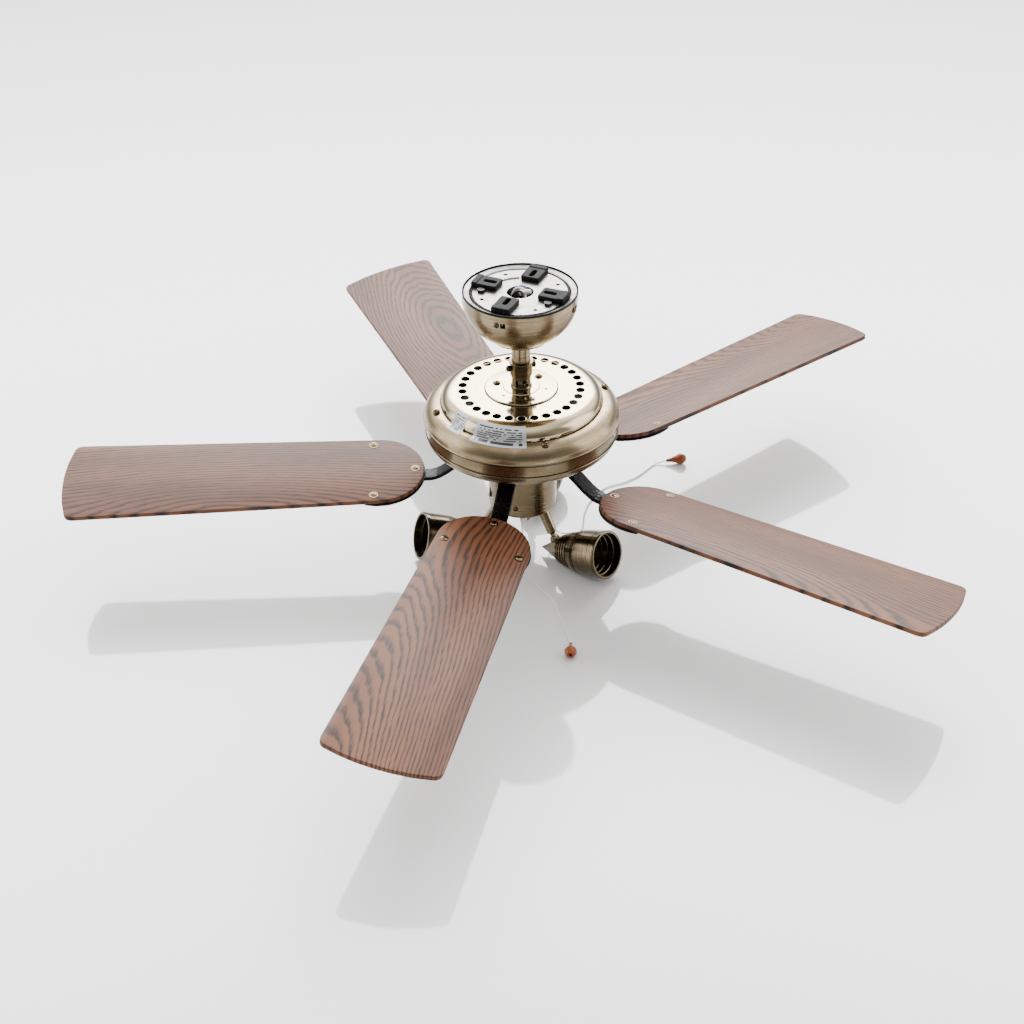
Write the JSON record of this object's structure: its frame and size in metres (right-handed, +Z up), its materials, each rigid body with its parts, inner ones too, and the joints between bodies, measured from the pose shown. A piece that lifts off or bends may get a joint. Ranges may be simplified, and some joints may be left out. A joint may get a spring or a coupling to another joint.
{
  "type": "ceiling fan with light",
  "caption": "Ceiling fan with wooden blades, a short downrod, an antique brass motor housing, adjustable bullet spotlights under it and bead pull chains.",
  "frame": {"origin": "on the fan's axis, in the middle of the cable entry at the ceiling bracket's upper face", "axes": "+Z up towards the ceiling along the fan's axis, X and Y along the bracket's two pairs of slots"},
  "size_m": [1.0248, 1.0236, 0.3431],
  "materials": {
    "zinc_plated_steel": "bright zinc plate on pressed steel",
    "black_rubber": "moulded, matt",
    "blackened_steel": "black oxide, satin",
    "white_nylon": "moulded, satin",
    "antique_brass": "antique brass plate, brushed round and lacquered",
    "polished_brass": "polished plate, near mirror",
    "bronzed_screw": "bronzed, satin",
    "bright_steel": "bright nickel plate",
    "moulded_ball": "glass filled nylon, satin",
    "foil_label": "printed silver foil, satin",
    "laminated_steel": "stacked electrical steel",
    "copper_winding": "enamelled copper wire",
    "cast_rotor": "die cast and turned",
    "black_iron": "black upper face, brass lower edges",
    "oak_veneer": "reddish oak with dark open grain, satin",
    "black_moulding": "moulded, satin",
    "nickel_bead_chain": "bright beads",
    "varnished_wood": "turned and varnished",
    "dark_ceramic": "glazed"
  },
  "bodies": {
    "ceiling_mount": {"ceiling_bracket": "zinc_plated_steel", "isolation_pads": "black_rubber", "cradle": "zinc_plated_steel", "cradle_bolts": "blackened_steel", "terminal_block": "white_nylon", "canopy": "antique_brass", "canopy_cap": "antique_brass", "canopy_screws": "bronzed_screw"},
    "hanger_ball": {"hanger_ball": "moulded_ball"},
    "fan_frame": {"hanger_pin": "bright_steel", "downrod": "antique_brass", "motor_yoke": "antique_brass", "yoke_bolts": "bronzed_screw", "top_cover": "antique_brass", "top_plate": "polished_brass", "housing_dome": "antique_brass", "housing_bowl": "antique_brass", "housing_screws": "bronzed_screw", "labels": "foil_label", "motor_shaft": "bright_steel", "stator_core": "laminated_steel", "stator_windings": "copper_winding", "bearings": "bright_steel", "adapter_plate": "zinc_plated_steel", "switch_housing": "antique_brass", "light_plate": "antique_brass", "capacitor": "black_moulding", "pull_switches": "black_moulding", "reverse_switch": "black_moulding", "chain_ferrules": "antique_brass", "fan_chain": "nickel_bead_chain", "light_chain": "nickel_bead_chain", "fan_pull": "varnished_wood", "light_pull": "varnished_wood"},
    "rotor": {"rotor_bell": "cast_rotor", "flywheel": "cast_rotor", "blade_iron_1": "black_iron", "blade_iron_2": "black_iron", "blade_iron_3": "black_iron", "blade_iron_4": "black_iron", "blade_iron_5": "black_iron", "iron_screws": "bronzed_screw", "blade_1": "oak_veneer", "blade_2": "oak_veneer", "blade_3": "oak_veneer", "blade_4": "oak_veneer", "blade_5": "oak_veneer", "blade_screws": "bronzed_screw"},
    "fan_switch_pull": {"fan_connector": "bright_steel"},
    "light_switch_pull": {"light_connector": "bright_steel"},
    "reverse_knob": {"reverse_knob": "black_moulding"},
    "spot_arm_1": {"spot_arm_1": "antique_brass"},
    "spot_head_1": {"spot_head_1": "antique_brass", "lampholder_1": "dark_ceramic"},
    "spot_arm_2": {"spot_arm_2": "antique_brass"},
    "spot_head_2": {"spot_head_2": "antique_brass", "lampholder_2": "dark_ceramic"},
    "spot_arm_3": {"spot_arm_3": "antique_brass"},
    "spot_head_3": {"spot_head_3": "antique_brass", "lampholder_3": "dark_ceramic"}
  },
  "joints": [
    {"name": "ball_tilt", "type": "hinge", "parent": "ceiling_mount", "child": "hanger_ball", "pos_m": [0, 0, -0.029], "axis": [1, 0, 0], "range_deg": [-6, 6]},
    {"name": "rod_swing", "type": "hinge", "parent": "hanger_ball", "child": "fan_frame", "pos_m": [0, 0, -0.029], "axis": [0, 1, 0], "range_deg": [-6, 6]},
    {"name": "rotor_spin", "type": "hinge", "parent": "fan_frame", "child": "rotor", "pos_m": [0, 0, -0.202], "axis": [0, 0, 1], "continuous": true},
    {"name": "arm_swivel_1", "type": "hinge", "parent": "fan_frame", "child": "spot_arm_1", "pos_m": [0.02948, -0.00958, -0.276], "axis": [-0.4841, 0.1573, 0.8607], "range_deg": [-20, 20]},
    {"name": "head_tilt_1", "type": "hinge", "parent": "spot_arm_1", "child": "spot_head_1", "pos_m": [0.04788, -0.01556, -0.30871], "axis": [0.2365, 0.9706, -0.0444], "range_deg": [-15, 60]},
    {"name": "arm_swivel_2", "type": "hinge", "parent": "fan_frame", "child": "spot_arm_2", "pos_m": [-0.00645, 0.03032, -0.276], "axis": [0.1058, -0.4979, 0.8607], "range_deg": [-20, 20]},
    {"name": "head_tilt_2", "type": "hinge", "parent": "spot_arm_2", "child": "spot_head_2", "pos_m": [-0.01047, 0.04924, -0.30871], "axis": [-0.9862, -0.1636, 0.0266], "range_deg": [-15, 60]},
    {"name": "arm_swivel_3", "type": "hinge", "parent": "fan_frame", "child": "spot_arm_3", "pos_m": [-0.02304, -0.02074, -0.276], "axis": [0.3783, 0.3406, 0.8607], "range_deg": [-20, 20]},
    {"name": "head_tilt_3", "type": "hinge", "parent": "spot_arm_3", "child": "spot_head_3", "pos_m": [-0.03741, -0.03369, -0.30871], "axis": [0.6464, -0.7628, 0.0178], "range_deg": [-15, 60]},
    {"name": "fan_pull_switch", "type": "slide", "parent": "fan_frame", "child": "fan_switch_pull", "axis": [0, 0, -1], "range_m": [0, 0.005], "stiffness_N_per_m": 400},
    {"name": "light_pull_switch", "type": "slide", "parent": "fan_frame", "child": "light_switch_pull", "axis": [0, 0, -1], "range_m": [0, 0.005], "stiffness_N_per_m": 400},
    {"name": "reverse_slide", "type": "slide", "parent": "fan_frame", "child": "reverse_knob", "axis": [0, 0, 1], "range_m": [0, 0.006]}
  ]
}
